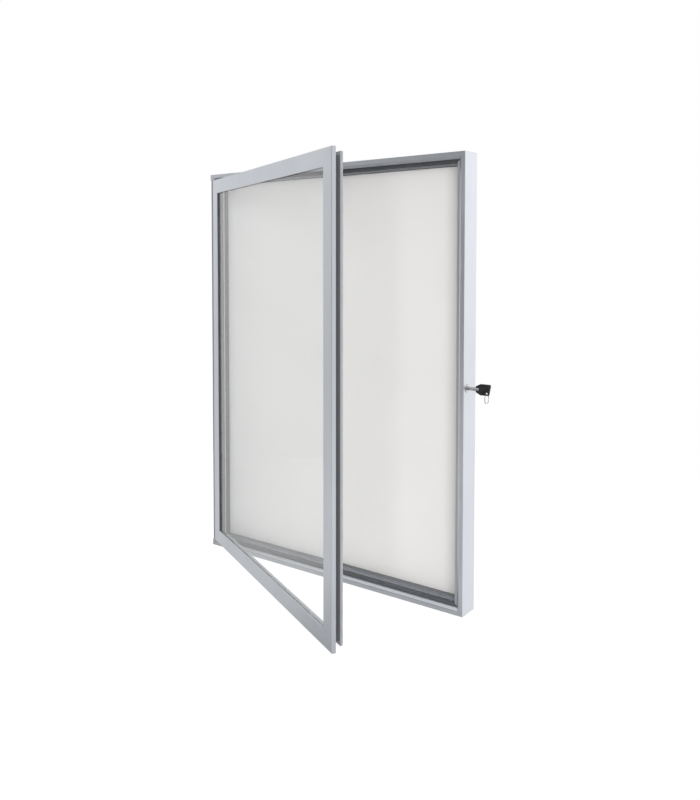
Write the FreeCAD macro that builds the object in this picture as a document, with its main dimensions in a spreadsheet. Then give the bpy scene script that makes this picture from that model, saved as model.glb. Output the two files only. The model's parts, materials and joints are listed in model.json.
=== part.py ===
import FreeCAD, Part
import os
import re
import Sketcher
from FreeCAD import Vector

# Lockable notice board: a shallow aluminium case for a wall or a post, with a
# glazed door on a continuous rolled hinge down its left side and a tubular
# lock in its right side. Millimetres. X right, Y towards the wall, Z up. The
# origin is the centre of the four mounting inserts, on the rear plane.
# The door stands open by door_open degrees, as it does at rest.

os.makedirs("parts", exist_ok=True)
doc = FreeCAD.newDocument("NoticeBoard")

# Driving dimensions, one row each in the sheet.
sizes = {
    # Outside of the case
    "board_width": 735.0,
    "board_height": 1000.0,
    "board_depth": 57.0,
    # Case extrusion, measured inwards from its outer face and back from its front
    "frame_wall": 2.0,
    "lip_width": 15.0,
    "lip_depth": 9.5,
    "lip_flat": 9.3,
    "lip_slope": 6.0,
    "shelf_width": 7.0,
    "ridge_front": 29.0,
    "ridge_width": 4.5,
    "groove_depth": 12.5,
    "rear_wall": 2.5,
    "rear_lip_cover": 10.0,
    "edge_break": 0.5,
    # Display panel in its groove
    "sheet_thickness": 1.0,
    "backing_thickness": 8.3,
    "panel_slack": 0.2,
    "panel_edge_gap": 1.0,
    # Corner cleats and their set screws
    "cleat_gap": 0.3,
    "case_cleat_leg": 48.0,
    "door_cleat_leg": 66.0,
    "set_screw_radius": 2.0,
    "set_screw_length": 6.0,
    "set_screw_play": 0.1,
    "case_screw_depth": 19.0,
    "case_screw_from_corner": 36.0,
    "door_screw_depth": 16.0,
    "door_screw_from_corner": 52.0,
    # Mounting inserts in the rear wall of the stiles
    "insert_spacing": 700.0,
    "insert_bore": 2.5,
    "insert_radius": 3.9,
    "insert_bulge": 4.5,
    "insert_length": 9.6,
    "insert_play": 0.1,
    # Rolled hinge
    "hinge_axis_inset": 5.2,
    "bead_radius": 2.9,
    "bead_play": 0.2,
    "channel_wall": 1.5,
    "foot_thickness": 1.5,
    "foot_skin": 0.2,
    "foot_end_gap": 0.4,
    "neck_thickness": 1.5,
    "neck_play": 1.5,
    "channel_end_gap": 0.3,
    "washer_thickness": 0.7,
    "washer_play": 0.15,
    "hinge_screw_count": 7,
    "hinge_screw_end": 80.0,
    "hinge_screw_radius": 1.2,
    "hinge_screw_head": 2.1,
    "hinge_screw_head_height": 1.0,
    "hinge_screw_length": 7.0,
    "hinge_screw_play": 0.1,
    # Door and its swing
    "door_open": 28.5,
    "door_swing": 100.0,
    "door_gap": 1.0,
    "door_landing": 0.2,
    "door_face": 36.0,
    "door_wall": 1.8,
    "door_web_inset": 15.0,
    "door_flange_inset": 7.7,
    "door_flange": 3.0,
    "door_depth": 25.5,
    # Glazing
    "glazing_lip": 3.0,
    "glazing_cover": 11.0,
    "gasket_thickness": 1.0,
    "gasket_setback": 0.5,
    "gasket_width": 7.6,
    "pane_thickness": 4.0,
    "pane_gap": 1.5,
    "bead_hook": 1.5,
    "bead_hook_height": 2.0,
    "glazing_bead_gap": 0.25,
    "glazing_bead_wall": 1.6,
    "glazing_bead_width": 9.0,
    # Weather seal behind the door's flange
    "seal_width": 2.4,
    "seal_inset": 0.2,
    "seal_gap": 0.3,
    # Lock in the lock stile
    "lock_height": 495.0,
    "lock_depth": 17.3,
    "lock_head_radius": 9.5,
    "lock_head_height": 1.2,
    "barrel_radius": 6.5,
    "barrel_nose_radius": 5.6,
    "barrel_nose_reach": 1.3,
    "barrel_play": 0.15,
    "lock_nut_radius": 7.2,
    "plug_radius": 4.6,
    "plug_length": 8.0,
    "plug_play": 0.1,
    "keyway_depth": 6.0,
    "bolt_radius": 4.5,
    "bolt_throw": 7.2,
    "bolt_setback": 0.5,
    "drive_radius": 2.4,
    "drive_play": 0.2,
    "drive_grip": 4.3,
    "lock_gap": 0.5,
    # Key and its ring
    "key_tube_radius": 3.9,
    "key_tube_bore": 2.95,
    "key_fit": 0.12,
    "key_reach": 34.0,
    "bow_start": 20.0,
    "bow_shoulder": 30.5,
    "bow_end": 54.0,
    "bow_height": 24.0,
    "bow_neck_height": 13.0,
    "bow_lean": 4.5,
    "bow_thickness": 4.4,
    "bow_edge": 1.0,
    "bow_corner": 3.0,
    "boss_start": 28.0,
    "boss_end": 40.0,
    "boss_radius": 5.4,
    "ring_hole_radius": 2.4,
    "ring_hole_from_end": 9.5,
    "ring_hole_from_edge": 4.3,
    "ring_radius": 10.0,
    "ring_wire": 0.7,
    "ring_width": 0.8,
    "ring_turn_groove": 0.2,
    "ring_hang": 1.0,
}

sheet = doc.addObject("Spreadsheet::Sheet", "Sizes")
for row, (name, number) in enumerate(sizes.items(), start=1):
    sheet.set(f"A{row}", name)
    sheet.set(f"B{row}", str(number))
    sheet.setAlias(f"B{row}", name)
doc.recompute()


def full(text):
    """The expression with each size's name pointing into the sheet."""
    return re.sub(r"[a-z]\w*", lambda word: "Sizes." + word.group()
                  if word.group() in sizes else word.group(), text)


def value(text):
    """The present number behind an expression."""
    result = sheet.evalExpression(full(text))
    return float(getattr(result, "Value", result))


def bind(item, **expressions):
    """Bind properties of an object to expressions on the sheet."""
    for prop, text in expressions.items():
        item.setExpression(prop, full(text))


# Sizes that follow from the driving ones
inner_wall = "(lip_width + shelf_width)"
ridge_inset = f"({inner_wall} + ridge_width)"
groove_bottom = f"({ridge_inset} - groove_depth)"
groove_back = "(board_depth - rear_wall)"
panel_seat = f"({groove_back} - sheet_thickness - backing_thickness - panel_slack)"
rear_lip = f"({groove_bottom} + rear_lip_cover)"
door_margin = "(lip_width + door_gap)"
door_width = f"(board_width - 2 * {door_margin})"
door_height = f"(board_height - 2 * {door_margin})"
door_front = "(lip_depth - door_landing)"
glazing_inset = "(door_face - glazing_cover)"
flange_front = "(door_depth - door_flange)"
pane_front = "(glazing_lip + gasket_thickness)"
pane_back = f"({pane_front} + pane_thickness)"
bead_front = f"({pane_back} + gasket_thickness)"
channel_bore = "(bead_radius + bead_play)"
channel_radius = f"({channel_bore} + channel_wall)"
hinge_axis_depth = f"(lip_depth - foot_skin - {channel_radius})"
foot_end = "(lip_width - foot_end_gap)"
hinge_screw_inset = f"((hinge_axis_inset + {channel_radius} + {foot_end}) / 2)"
hinge_screw_pitch = "((board_height - 2 * hinge_screw_end) / (hinge_screw_count - 1))"
channel_start = "(lip_width + channel_end_gap)"

# The four sides, each as the corner it starts from and its turn about Y. On
# every side local X points inwards, local Y back and local Z along the side.
sides = {
    "hinge_stile": ("0", "0", "0"),
    "bottom_rail": ("1", "0", "-90"),
    "lock_stile": ("1", "1", "180"),
    "top_rail": ("0", "1", "90"),
}
corners = {
    "bottom_left": "hinge_stile",
    "bottom_right": "bottom_rail",
    "top_right": "lock_stile",
    "top_left": "top_rail",
}


def on_board(x, y, z, turn="0"):
    """Placement of a point given from the case's front bottom left corner."""
    return (f"placement(vector({x} - board_width / 2; {y} - board_depth; "
            f"{z} - board_height / 2); rotation(vector(0; 1; 0); {turn}))")


def swung(placement):
    """The same placement carried round the hinge by the opening angle."""
    axis_x = "(hinge_axis_inset - board_width / 2)"
    axis_y = f"({hinge_axis_depth} - board_depth)"
    return (f"placement(vector({axis_x}; {axis_y}; 0); rotation(vector(0; 0; 1); -door_open))"
            f" * placement(vector(-{axis_x}; -{axis_y}; 0); rotation(vector(0; 0; 1); 0))"
            f" * {placement}")


def at_side(side, margin, wide, tall, depth="0"):
    """Placement of a side of a frame whose outer edge lies a margin inside."""
    right, up, turn = sides[side]
    return on_board(f"({margin} + {right} * {wide})", depth, f"({margin} + {up} * {tall})", turn)


pieces = {}


def new_body(name):
    body = doc.addObject("PartDesign::Body", name)
    body.Label = name
    pieces[name] = body
    return body


def new_sketch(body, name, role, offset=None):
    """A sketch on one of the body's own origin planes, moved along its normal."""
    plane = next(item for item in body.Origin.OriginFeatures if item.Role == role)
    sketch = body.newObject("Sketcher::SketchObject", name)
    sketch.AttachmentSupport = [(plane, "")]
    sketch.MapMode = "FlatFace"
    if offset is not None:
        sketch.setExpression("AttachmentOffset.Base.z", full(offset))
    return sketch


def add_outline(sketch, points):
    """A closed outline, each corner held by its distances from the origin."""
    numbers = [(value(x), value(y)) for x, y in points]
    first = sketch.GeometryCount
    count = len(points)
    lines = [Part.LineSegment(Vector(*numbers[i], 0), Vector(*numbers[(i + 1) % count], 0))
             for i in range(count)]
    sketch.addGeometry(lines, False)
    rules = [Sketcher.Constraint("Coincident", first + i, 2, first + (i + 1) % count, 1)
             for i in range(count)]
    bound = []
    base = sketch.ConstraintCount
    for i, point in enumerate(points):
        for kind, text, number in zip(("DistanceX", "DistanceY"), point, numbers[i]):
            bound.append((base + len(rules), text))
            rules.append(Sketcher.Constraint(kind, -1, 1, first + i, 1, number))
    sketch.addConstraint(rules)
    for index, text in bound:
        sketch.setExpression(f"Constraints[{index}]", full(text))


def add_circle(sketch, x, y, radius):
    """A circle held by its centre and radius."""
    centre = Vector(value(x), value(y), 0)
    index = sketch.addGeometry(Part.Circle(centre, Vector(0, 0, 1), value(radius)), False)
    base = sketch.ConstraintCount
    sketch.addConstraint([Sketcher.Constraint("DistanceX", -1, 1, index, 3, centre.x),
                          Sketcher.Constraint("DistanceY", -1, 1, index, 3, centre.y),
                          Sketcher.Constraint("Radius", index, value(radius))])
    for step, text in enumerate((x, y, radius)):
        sketch.setExpression(f"Constraints[{base + step}]", full(text))


def add_rectangle(sketch, x0, y0, x1, y1):
    add_outline(sketch, [(x0, y0), (x1, y0), (x1, y1), (x0, y1)])


def pad(body, sketch, length, reverse=False, midplane=False):
    feature = body.newObject("PartDesign::Pad", sketch.Name + "Pad")
    feature.Profile = sketch
    feature.Reversed = reverse
    feature.Midplane = midplane
    bind(feature, Length=length)
    return feature


def pocket(body, sketch, length=None, reverse=False):
    feature = body.newObject("PartDesign::Pocket", sketch.Name + "Cut")
    feature.Profile = sketch
    feature.Reversed = reverse
    if length is None:
        feature.Type = "ThroughAll"
    else:
        bind(feature, Length=length)
    return feature


def revolve(body, sketch):
    """A full turn about the sketch's horizontal axis."""
    feature = body.newObject("PartDesign::Revolution", sketch.Name + "Turn")
    feature.Profile = sketch
    feature.ReferenceAxis = (sketch, ["H_Axis"])
    feature.Angle = 360
    return feature


def repeat(body, feature, sketch, axis, count, pitch):
    """A row of copies of a feature along an axis of its sketch."""
    pattern = body.newObject("PartDesign::LinearPattern", feature.Name + "Row")
    pattern.Originals = [feature]
    pattern.Direction = (sketch, [axis])
    bind(pattern, Length=f"({pitch} * ({count} - 1))", Occurrences=count)
    body.Tip = pattern
    return pattern


def cut_mitres(body, length, reach):
    """Both ends of an extrusion cut back at 45 degrees towards its inner side."""
    sketch = new_sketch(body, body.Name + "Mitres", "XZ_Plane")
    add_outline(sketch, [("0", "0"), (reach, "0"), (reach, reach)])
    add_outline(sketch, [("0", length), (reach, f"({length} - {reach})"), (reach, length)])
    return pocket(body, sketch)


def new_group(name, solids, placement):
    """A node of separate solids, such as a set of screws."""
    group = doc.addObject("Part::Feature", name)
    group.Shape = Part.makeCompound(solids)
    group.setExpression("Placement", full(placement))
    pieces[name] = group
    return group


# Case extrusion: front lip that slopes away on its inner side, shelf for the
# door to land on, deep channel, ridge that the door's seal closes against, and
# the groove of the panel. The lip's chamber keeps its wall under the slope.
slope_width = "(lip_width - lip_flat)"
slope_length = f"sqrt({slope_width} * {slope_width} + lip_slope * lip_slope)"
chamber_flat = f"(lip_flat + frame_wall * ({slope_width} - {slope_length}) / lip_slope)"
chamber_slope = f"(lip_slope + frame_wall * ({slope_length} - lip_slope) / {slope_width})"
case_outline = [
    ("0", "edge_break"), ("edge_break", "0"), ("lip_flat", "0"),
    ("lip_width", "lip_slope"), ("lip_width", "lip_depth"), (inner_wall, "lip_depth"),
    (inner_wall, "ridge_front"), (ridge_inset, "ridge_front"), (ridge_inset, panel_seat),
    (groove_bottom, panel_seat), (groove_bottom, groove_back), (rear_lip, groove_back),
    (rear_lip, "board_depth"), ("0", "board_depth"),
]
lip_chamber = [
    ("frame_wall", "frame_wall"), (chamber_flat, "frame_wall"),
    ("(lip_width - frame_wall)", chamber_slope), ("(lip_width - frame_wall)", "lip_depth"),
    ("frame_wall", "lip_depth"),
]
main_front = "(lip_depth + frame_wall)"
main_back = f"({panel_seat} - frame_wall)"
main_chamber = [
    ("frame_wall", main_front), (f"({inner_wall} - frame_wall)", main_front),
    (f"({inner_wall} - frame_wall)", "(ridge_front + frame_wall)"),
    (f"({ridge_inset} - frame_wall)", "(ridge_front + frame_wall)"),
    (f"({ridge_inset} - frame_wall)", main_back), ("frame_wall", main_back),
]
rear_chamber = [
    ("frame_wall", panel_seat), (f"({groove_bottom} - frame_wall)", panel_seat),
    (f"({groove_bottom} - frame_wall)", "(board_depth - frame_wall)"),
    ("frame_wall", "(board_depth - frame_wall)"),
]


def make_case_side(side, length):
    """One mitred side of the case, with the holes of its corner screws."""
    body = new_body("case_" + side)
    profile = new_sketch(body, side + "Profile", "XY_Plane")
    for outline in (case_outline, lip_chamber, main_chamber, rear_chamber):
        add_outline(profile, outline)
    pad(body, profile, length)
    cut_mitres(body, length, f"({ridge_inset} + edge_break)")
    holes = new_sketch(body, side + "CleatHoles", "YZ_Plane", inner_wall)
    for place in ("case_screw_from_corner", f"({length} - case_screw_from_corner)"):
        add_circle(holes, "case_screw_depth", place, "(set_screw_radius + set_screw_play)")
    pocket(body, holes, "(frame_wall + set_screw_play)")
    bind(body, Placement=at_side(side, "0", "board_width", "board_height"))
    return body


case_sides = {side: make_case_side(side, "board_height" if "stile" in side else "board_width")
              for side in sides}

# Rear wall of both stiles: holes for the mounting inserts
insert_inset = f"({groove_bottom} / 2)"
for side in ("hinge_stile", "lock_stile"):
    body = case_sides[side]
    holes = new_sketch(body, side + "InsertHoles", "XZ_Plane", "-board_depth")
    for sign in ("-", "+"):
        add_circle(holes, insert_inset, f"(board_height / 2 {sign} insert_spacing / 2)",
                   "(insert_radius + insert_play)")
    pocket(body, holes, "frame_wall", reverse=True)

# Hinge stile: its lip is milled away over the height of the door, and the
# wall behind it takes the screws of the hinge channel
body = case_sides["hinge_stile"]
milling = new_sketch(body, "HingeMilling", "XZ_Plane")
add_rectangle(milling, "0", "lip_width", "lip_width", "(board_height - lip_width)")
pocket(body, milling, "lip_depth")
pilot = new_sketch(body, "HingePilot", "XZ_Plane", "-lip_depth")
add_circle(pilot, hinge_screw_inset, "hinge_screw_end", "(hinge_screw_radius + hinge_screw_play)")
pilot_hole = pocket(body, pilot, "frame_wall")
repeat(body, pilot_hole, pilot, "V_Axis", "hinge_screw_count", hinge_screw_pitch)

# Lock stile: a large hole from the outside for the barrel and a smaller one
# in the inner wall for its nose. The stile is turned, so its height runs down.
body = case_sides["lock_stile"]
lock_local_height = "(board_height - lock_height)"
barrel_hole = new_sketch(body, "BarrelHole", "YZ_Plane")
add_circle(barrel_hole, "lock_depth", lock_local_height, "(barrel_radius + barrel_play)")
pocket(body, barrel_hole, f"({inner_wall} - frame_wall)", reverse=True)
nose_hole = new_sketch(body, "NoseHole", "YZ_Plane", inner_wall)
add_circle(nose_hole, "lock_depth", lock_local_height, "(barrel_nose_radius + barrel_play)")
pocket(body, nose_hole, "frame_wall")


def make_cleat(name, low, high, front, back, leg, screw_from_corner, screw_depth, from_inside):
    """An L-shaped corner cleat that fills a chamber of two mitred sides."""
    body = new_body(name)
    outline = new_sketch(body, name + "Outline", "XZ_Plane", f"-({front})")
    add_outline(outline, [(low, low), (leg, low), (leg, high), (high, high), (high, leg), (low, leg)])
    pad(body, outline, f"({back} - {front})", reverse=True)
    face = high if from_inside else low
    radius = "(set_screw_radius + set_screw_play)"
    depth = "(set_screw_length + set_screw_play)"
    across = new_sketch(body, name + "HoleAcross", "YZ_Plane", face)
    add_circle(across, screw_depth, screw_from_corner, radius)
    pocket(body, across, depth, reverse=not from_inside)
    along = new_sketch(body, name + "HoleAlong", "XY_Plane", face)
    add_circle(along, screw_from_corner, screw_depth, radius)
    pocket(body, along, depth, reverse=not from_inside)
    return body


def set_screws(length, from_corner, depth, face, direction):
    """The two set screws of each side, as solids in the side's own frame."""
    radius = value("set_screw_radius")
    solids = []
    for along in (value(from_corner), value(length) - value(from_corner)):
        screw = Part.makeCylinder(radius, value("set_screw_length"),
                                  Vector(value(face), value(depth), along), Vector(direction, 0, 0))
        solids.append(screw)
    return solids


def gather_set_screws(name, margin, wide, tall, from_corner, depth, face, direction, placement):
    """The set screws of all four sides of a frame as one group."""
    solids = []
    for side, (right, up, turn) in sides.items():
        length = tall if "stile" in side else wide
        spin = FreeCAD.Rotation(Vector(0, 1, 0), float(turn))
        start = Vector(value(f"{margin} + {right} * {wide}"), 0, value(f"{margin} + {up} * {tall}"))
        for screw in set_screws(length, from_corner, depth, face, direction):
            screw.Placement = FreeCAD.Placement(start, spin).multiply(screw.Placement)
            solids.append(screw)
    return new_group(name, solids, placement)


# Case corners: four cleats, each locked by a set screw in either side
for corner, side in corners.items():
    cleat = make_cleat("case_cleat_" + corner, "(frame_wall + cleat_gap)",
                       f"({inner_wall} - frame_wall - cleat_gap)", f"({main_front} + cleat_gap)",
                       f"({main_back} - cleat_gap)", "case_cleat_leg", "case_screw_from_corner",
                       "case_screw_depth", from_inside=True)
    bind(cleat, Placement=at_side(side, "0", "board_width", "board_height"))
gather_set_screws("case_cleat_screws", "0", "board_width", "board_height", "case_screw_from_corner",
                  "case_screw_depth", f"({inner_wall} - set_screw_play)", -1, on_board("0", "0", "0"))

# Display panel: an enamelled steel sheet on a backing board, both let into
# the groove behind the ridge on all four sides
panel_edge = f"({groove_bottom} + panel_edge_gap)"
for name, front, thickness in (
        ("display_panel", panel_seat, "sheet_thickness"),
        ("backing_board", f"({panel_seat} + sheet_thickness)", "backing_thickness")):
    body = new_body(name)
    outline = new_sketch(body, name + "Outline", "XZ_Plane")
    add_rectangle(outline, panel_edge, panel_edge, f"(board_width - {panel_edge})",
                  f"(board_height - {panel_edge})")
    pad(body, outline, thickness, reverse=True)
    bind(body, Placement=on_board("0", front, "0"))

# Mounting inserts: threaded bushes set flush in the rear wall of the stiles
bush = Part.makeCylinder(value("insert_radius"), value("insert_length"))
bulge = Part.makeCone(value("insert_radius"), value("insert_bulge"), value("frame_wall"),
                      Vector(0, 0, value("frame_wall")))
bush = bush.fuse(bulge).cut(Part.makeCylinder(value("insert_bore"), value("insert_length")))
bush.rotate(Vector(0, 0, 0), Vector(1, 0, 0), 90)
inserts = []
for x in (value(insert_inset), value(f"board_width - {insert_inset}")):
    for z in (-1, 1):
        insert = bush.copy()
        insert.translate(Vector(x, value("board_depth"), value("board_height") / 2
                                + z * value("insert_spacing") / 2))
        inserts.append(insert)
new_group("mounting_inserts", inserts, on_board("0", "0", "0"))

# Hinge channel: an extrusion with a C-shaped track for the door's bead and a
# foot that is screwed to the milled stile. The mouth of the track is as wide
# as the neck needs from shut to fully open, and narrower than the bead.
neck_half_angle = f"asin(neck_thickness / (2 * {channel_bore}))"
mouth_reach = f"({channel_radius} + channel_wall)"
shut_edge = f"({neck_half_angle} + neck_play * 1 deg)"
open_edge = f"({neck_half_angle} + (neck_play + door_swing) * 1 deg)"
body = new_body("hinge_channel")
track = new_sketch(body, "Track", "XY_Plane")
add_circle(track, "hinge_axis_inset", hinge_axis_depth, channel_radius)
channel_length = f"(board_height - 2 * {channel_start})"
pad(body, track, channel_length)
foot = new_sketch(body, "Foot", "XY_Plane")
add_rectangle(foot, f"(hinge_axis_inset - {channel_radius})", "(lip_depth - foot_thickness)",
              foot_end, "lip_depth")
pad(body, foot, channel_length)
bore = new_sketch(body, "TrackBore", "XY_Plane")
add_circle(bore, "hinge_axis_inset", hinge_axis_depth, channel_bore)
pocket(body, bore, channel_length, reverse=True)
mouth = new_sketch(body, "Mouth", "XY_Plane")
add_outline(mouth, [
    ("hinge_axis_inset", hinge_axis_depth),
    (f"(hinge_axis_inset + {mouth_reach} * cos({shut_edge}))",
     f"({hinge_axis_depth} + {mouth_reach} * sin({shut_edge}))"),
    (f"(hinge_axis_inset + {mouth_reach})", f"({hinge_axis_depth} - {mouth_reach})"),
    (f"(hinge_axis_inset + {mouth_reach} * cos({open_edge}))",
     f"({hinge_axis_depth} - {mouth_reach} * sin({open_edge}))"),
])
pocket(body, mouth, channel_length, reverse=True)
fixing = new_sketch(body, "FootHole", "XZ_Plane", "-(lip_depth - foot_thickness)")
add_circle(fixing, hinge_screw_inset, f"(hinge_screw_end - {channel_start})",
           "(hinge_screw_radius + hinge_screw_play)")
foot_hole = pocket(body, fixing, "foot_thickness")
repeat(body, foot_hole, fixing, "V_Axis", "hinge_screw_count", hinge_screw_pitch)
bind(body, Placement=on_board("0", "0", channel_start))

# Screws of the hinge channel, driven from the front while the door is off
head_face = value("lip_depth - foot_thickness")
screws = []
for index in range(int(value("hinge_screw_count"))):
    z = value("hinge_screw_end") + index * value(hinge_screw_pitch)
    seat = Vector(value(hinge_screw_inset), head_face, z)
    shank = Part.makeCylinder(value("hinge_screw_radius"), value("hinge_screw_length"), seat,
                              Vector(0, 1, 0))
    head = Part.makeCylinder(value("hinge_screw_head"), value("hinge_screw_head_height"), seat,
                             Vector(0, -1, 0))
    screws.append(shank.fuse(head))
new_group("hinge_channel_screws", screws, on_board("0", "0", "0"))

# Thrust washers that carry the bead's ends between the stubs of the lip
washers = []
washer_low = value("lip_width + washer_play")
washer_high = value("board_height - lip_width - washer_play - washer_thickness")
for z in (washer_low, washer_high):
    centre = Vector(value("hinge_axis_inset"), value(hinge_axis_depth), z)
    washers.append(Part.makeCylinder(value("bead_radius"), value("washer_thickness"), centre))
new_group("hinge_washers", washers, on_board("0", "0", "0"))

# Door extrusion: front section that lands on the shelf, web set back to leave
# an open groove, rear flange with the seal, and a lip and hook for the glazing
door_outline = [
    ("0", "edge_break"), ("edge_break", "0"), ("(door_face - edge_break)", "0"),
    ("door_face", "edge_break"), ("door_face", "glazing_lip"), (glazing_inset, "glazing_lip"),
    (glazing_inset, "(door_depth - bead_hook_height)"),
    (f"({glazing_inset} + bead_hook)", "(door_depth - bead_hook_height)"),
    (f"({glazing_inset} + bead_hook)", "door_depth"), ("door_flange_inset", "door_depth"),
    ("door_flange_inset", flange_front), ("door_web_inset", flange_front),
    ("door_web_inset", door_front), ("0", door_front),
]
box_low = "(door_web_inset + door_wall)"
box_high = f"({glazing_inset} - door_wall)"
box_back = "(door_depth - door_wall)"
door_chamber = [
    ("door_wall", "door_wall"), (box_high, "door_wall"), (box_high, box_back),
    (box_low, box_back), (box_low, f"({door_front} - door_wall)"),
    ("door_wall", f"({door_front} - door_wall)"),
]


def add_hinge_bead(body, length):
    """The neck and round bead of the hinge, on the outer wall of the extrusion."""
    bead_x = f"(hinge_axis_inset - {door_margin})"
    neck = new_sketch(body, "HingeNeck", "XY_Plane")
    add_rectangle(neck, bead_x, f"({hinge_axis_depth} - neck_thickness / 2)", "(door_wall / 2)",
                  f"({hinge_axis_depth} + neck_thickness / 2)")
    pad(body, neck, length)
    roll = new_sketch(body, "HingeBead", "XY_Plane")
    add_circle(roll, bead_x, hinge_axis_depth, "bead_radius")
    pad(body, roll, length)


def make_door_side(side, length):
    """One mitred side of the door, with the holes of its corner screws."""
    body = new_body("door_" + side)
    profile = new_sketch(body, "Door" + side + "Profile", "XY_Plane")
    add_outline(profile, door_outline)
    add_outline(profile, door_chamber)
    pad(body, profile, length)
    if side == "hinge_stile":
        add_hinge_bead(body, length)
    cut_mitres(body, length, "(door_face + edge_break)")
    holes = new_sketch(body, "Door" + side + "CleatHoles", "YZ_Plane", "door_web_inset")
    for place in ("door_screw_from_corner", f"({length} - door_screw_from_corner)"):
        add_circle(holes, "door_screw_depth", place, "(set_screw_radius + set_screw_play)")
    pocket(body, holes, "(door_wall + set_screw_play)", reverse=True)
    bind(body, Placement=swung(at_side(side, door_margin, door_width, door_height)))
    return body


for side in sides:
    make_door_side(side, door_height if "stile" in side else door_width)

# Door corners: four cleats in the box section, each with two set screws
for corner, side in corners.items():
    cleat = make_cleat("door_cleat_" + corner, f"({box_low} + cleat_gap)", f"({box_high} - cleat_gap)",
                       "(door_wall + cleat_gap)", f"({box_back} - cleat_gap)", "door_cleat_leg",
                       "door_screw_from_corner", "door_screw_depth", from_inside=False)
    bind(cleat, Placement=swung(at_side(side, door_margin, door_width, door_height)))
gather_set_screws("door_cleat_screws", door_margin, door_width, door_height,
                  "door_screw_from_corner", "door_screw_depth", "(door_web_inset + set_screw_play)",
                  1, swung(on_board("0", "0", "0")))


def make_door_ring(name, outer, inner, front, thickness):
    """A flat ring or plate parallel to the door, insets from the door's edge."""
    body = new_body(name)
    outline = new_sketch(body, name + "Outline", "XZ_Plane")
    for inset in (outer, inner):
        if inset:
            add_rectangle(outline, inset, inset, f"({door_width} - {inset})",
                          f"({door_height} - {inset})")
    pad(body, outline, thickness, reverse=True)
    bind(body, Placement=swung(on_board(door_margin, front, door_margin)))
    return body


# Pane, the two gaskets that grip it, and the weather seal of the door
gasket_edge = "(door_face - gasket_setback)"
make_door_ring("glazing_pane", f"({glazing_inset} + pane_gap)", None, pane_front, "pane_thickness")
make_door_ring("glazing_gasket_front", f"({gasket_edge} - gasket_width)", gasket_edge,
               "glazing_lip", "gasket_thickness")
bead_edge = f"({glazing_inset} + glazing_bead_width)"
make_door_ring("glazing_gasket_rear", f"({bead_edge} - gasket_width + gasket_setback)", bead_edge,
               pane_back, "gasket_thickness")
seal_outer = "(door_flange_inset + seal_inset)"
make_door_ring("door_seal", seal_outer, f"({seal_outer} + seal_width)", "door_depth",
               "(ridge_front - door_depth - seal_gap)")

# Glazing beads: a sloped extrusion on each side that snaps in under the hook
bead_seat = f"({glazing_inset} + glazing_bead_gap)"
bead_top = "(door_depth - bead_hook_height - glazing_bead_gap)"
bead_profile = [
    (bead_seat, bead_front), (bead_edge, bead_front),
    (bead_edge, f"({bead_front} + glazing_bead_wall)"),
    (f"({bead_seat} + glazing_bead_wall)", f"({bead_top} - bead_hook_height)"),
    (f"({bead_seat} + glazing_bead_wall)", bead_top), (bead_seat, bead_top),
]
for side in sides:
    length = door_height if "stile" in side else door_width
    body = new_body("glazing_bead_" + side)
    profile = new_sketch(body, "Bead" + side + "Profile", "XY_Plane")
    add_outline(profile, bead_profile)
    pad(body, profile, length)
    cut_mitres(body, length, "door_face")
    bind(body, Placement=swung(at_side(side, door_margin, door_width, door_height)))

# Lock, on an axis through the lock stile. Along it X is the distance out of
# the side face, so the inside of the stile is at negative X.
lock_place = on_board("board_width", "lock_depth", "lock_height")


def make_turned(name, points, place=lock_place):
    """A piece turned about an axis along X, its outline as X and radius."""
    body = new_body(name)
    outline = new_sketch(body, name + "Outline", "XZ_Plane")
    add_outline(outline, points)
    revolve(body, outline)
    bind(body, Placement=place)
    return body


# Barrel: head on the side face, body in the large hole, nose through the
# inner wall, and a bore for the plug that narrows to guide the bolt
body_end = f"-({inner_wall} - frame_wall - barrel_play)"
nose_end = f"-({inner_wall} + barrel_nose_reach)"
plug_bore = "(plug_radius + plug_play)"
bolt_bore = "(bolt_radius + plug_play)"
plug_step = "-(plug_length + plug_play)"
make_turned("lock_barrel", [
    ("lock_head_height", plug_bore), ("lock_head_height", "(lock_head_radius - edge_break)"),
    ("(lock_head_height - edge_break)", "lock_head_radius"), ("0", "lock_head_radius"),
    ("0", "barrel_radius"), (body_end, "barrel_radius"), (body_end, "barrel_nose_radius"),
    (nose_end, "barrel_nose_radius"), (nose_end, bolt_bore), (plug_step, bolt_bore),
    (plug_step, plug_bore),
])

# Ring nut on the nose, against the inner wall
make_turned("lock_nut", [
    (f"-{inner_wall}", "(barrel_nose_radius + set_screw_play)"),
    (f"-{inner_wall}", "lock_nut_radius"),
    (f"({nose_end} + edge_break)", "lock_nut_radius"),
    (nose_end, "(lock_nut_radius - edge_break)"),
    (nose_end, "(barrel_nose_radius + set_screw_play)"),
])

# Plug: annular keyway round a centre post in front, drive spigot behind. The
# spigot is as long as the bolt's throw and the grip that is left at its end.
keyway_inner = "(key_tube_bore - key_fit)"
keyway_outer = "(key_tube_radius + key_fit)"
plug_face = "(lock_head_height - lock_gap)"
keyway_end = f"({plug_face} - keyway_depth)"
drive_end = "-(plug_length + bolt_throw + drive_grip)"
make_turned("lock_plug", [
    (plug_face, "0"), (plug_face, keyway_inner), (keyway_end, keyway_inner),
    (keyway_end, keyway_outer), (plug_face, keyway_outer), (plug_face, "plug_radius"),
    ("-plug_length", "plug_radius"), ("-plug_length", "drive_radius"),
    (drive_end, "drive_radius"), (drive_end, "0"),
])

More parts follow.
